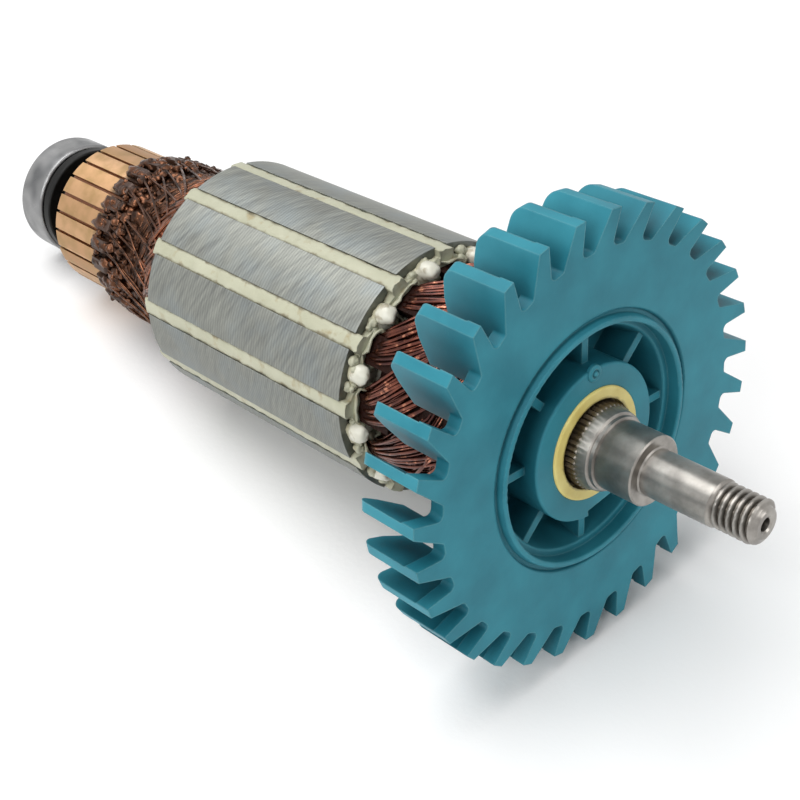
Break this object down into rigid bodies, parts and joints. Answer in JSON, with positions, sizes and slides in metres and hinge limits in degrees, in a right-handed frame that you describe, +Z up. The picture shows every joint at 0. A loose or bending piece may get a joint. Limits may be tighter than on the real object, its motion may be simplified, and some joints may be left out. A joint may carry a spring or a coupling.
{
  "type": "motor armature",
  "caption": "Power tool armature: a laminated core with windings between a commutator with its ball bearing and a bladed fan, on a stepped shaft with a threaded end.",
  "frame": {"origin": "on the table, under the middle of the whole armature's box as it lies on its fan and its rear bearing", "axes": "+X along the table towards the threaded end, +Z up; the shaft rises towards +X at 10.56 degrees"},
  "size_m": [0.1428, 0.06, 0.0604],
  "materials": {
    "turned_steel": "satin",
    "bearing_steel": "satin",
    "ball_steel": "gloss",
    "seal_rubber": "matte",
    "black_moulding": "matte",
    "brown_moulding": "matte",
    "cage_plastic": "matte",
    "bar_copper": "satin",
    "lamination_steel": "satin",
    "slot_insulation": "matte",
    "cream_moulding": "matte",
    "winding_copper": "gloss",
    "sleeve_resin": "matte",
    "fan_plastic": "satin"
  },
  "bodies": {
    "armature": {"shaft": "turned_steel", "insulating_sleeve": "sleeve_resin", "core_stack": "lamination_steel", "front_end_insulator": "cream_moulding", "rear_end_insulator": "cream_moulding", "slot_liners": "slot_insulation", "slot_coil_sides": "winding_copper", "front_coil_head": "winding_copper", "rear_coil_head": "winding_copper", "commutator_moulding": "brown_moulding", "insulating_washer": "black_moulding", "fan": "fan_plastic", "bearing_inner_ring": "bearing_steel", "slot_wedge_01": "slot_insulation", "slot_wedge_02": "slot_insulation", "slot_wedge_03": "slot_insulation", "slot_wedge_04": "slot_insulation", "slot_wedge_05": "slot_insulation", "slot_wedge_06": "slot_insulation", "slot_wedge_07": "slot_insulation", "slot_wedge_08": "slot_insulation", "slot_wedge_09": "slot_insulation", "slot_wedge_10": "slot_insulation", "slot_wedge_11": "slot_insulation", "slot_wedge_12": "slot_insulation", "commutator_bar_01": "bar_copper", "commutator_bar_02": "bar_copper", "commutator_bar_03": "bar_copper", "commutator_bar_04": "bar_copper", "commutator_bar_05": "bar_copper", "commutator_bar_06": "bar_copper", "commutator_bar_07": "bar_copper", "commutator_bar_08": "bar_copper", "commutator_bar_09": "bar_copper", "commutator_bar_10": "bar_copper", "commutator_bar_11": "bar_copper", "commutator_bar_12": "bar_copper", "commutator_bar_13": "bar_copper", "commutator_bar_14": "bar_copper", "commutator_bar_15": "bar_copper", "commutator_bar_16": "bar_copper", "commutator_bar_17": "bar_copper", "commutator_bar_18": "bar_copper", "commutator_bar_19": "bar_copper", "commutator_bar_20": "bar_copper", "commutator_bar_21": "bar_copper", "commutator_bar_22": "bar_copper", "commutator_bar_23": "bar_copper", "commutator_bar_24": "bar_copper"},
    "bearing_outer": {"bearing_outer_ring": "bearing_steel", "bearing_seal_outboard": "seal_rubber", "bearing_seal_inboard": "seal_rubber"},
    "ball_set": {"bearing_balls": "ball_steel", "bearing_cage": "cage_plastic"}
  },
  "joints": [
    {"name": "bearing_outer_turn", "type": "hinge", "parent": "armature", "child": "bearing_outer", "pos_m": [-0.06675, 0, 0.00982], "axis": [0.9831, 0, 0.1833], "continuous": true},
    {"name": "ball_set_turn", "type": "hinge", "parent": "armature", "child": "ball_set", "pos_m": [-0.06675, 0, 0.00982], "axis": [0.9831, 0, 0.1833], "continuous": true}
  ],
  "couplings": [
    {"joint": "ball_set_turn", "follows": "bearing_outer_turn", "ratio": 0.6008}
  ]
}
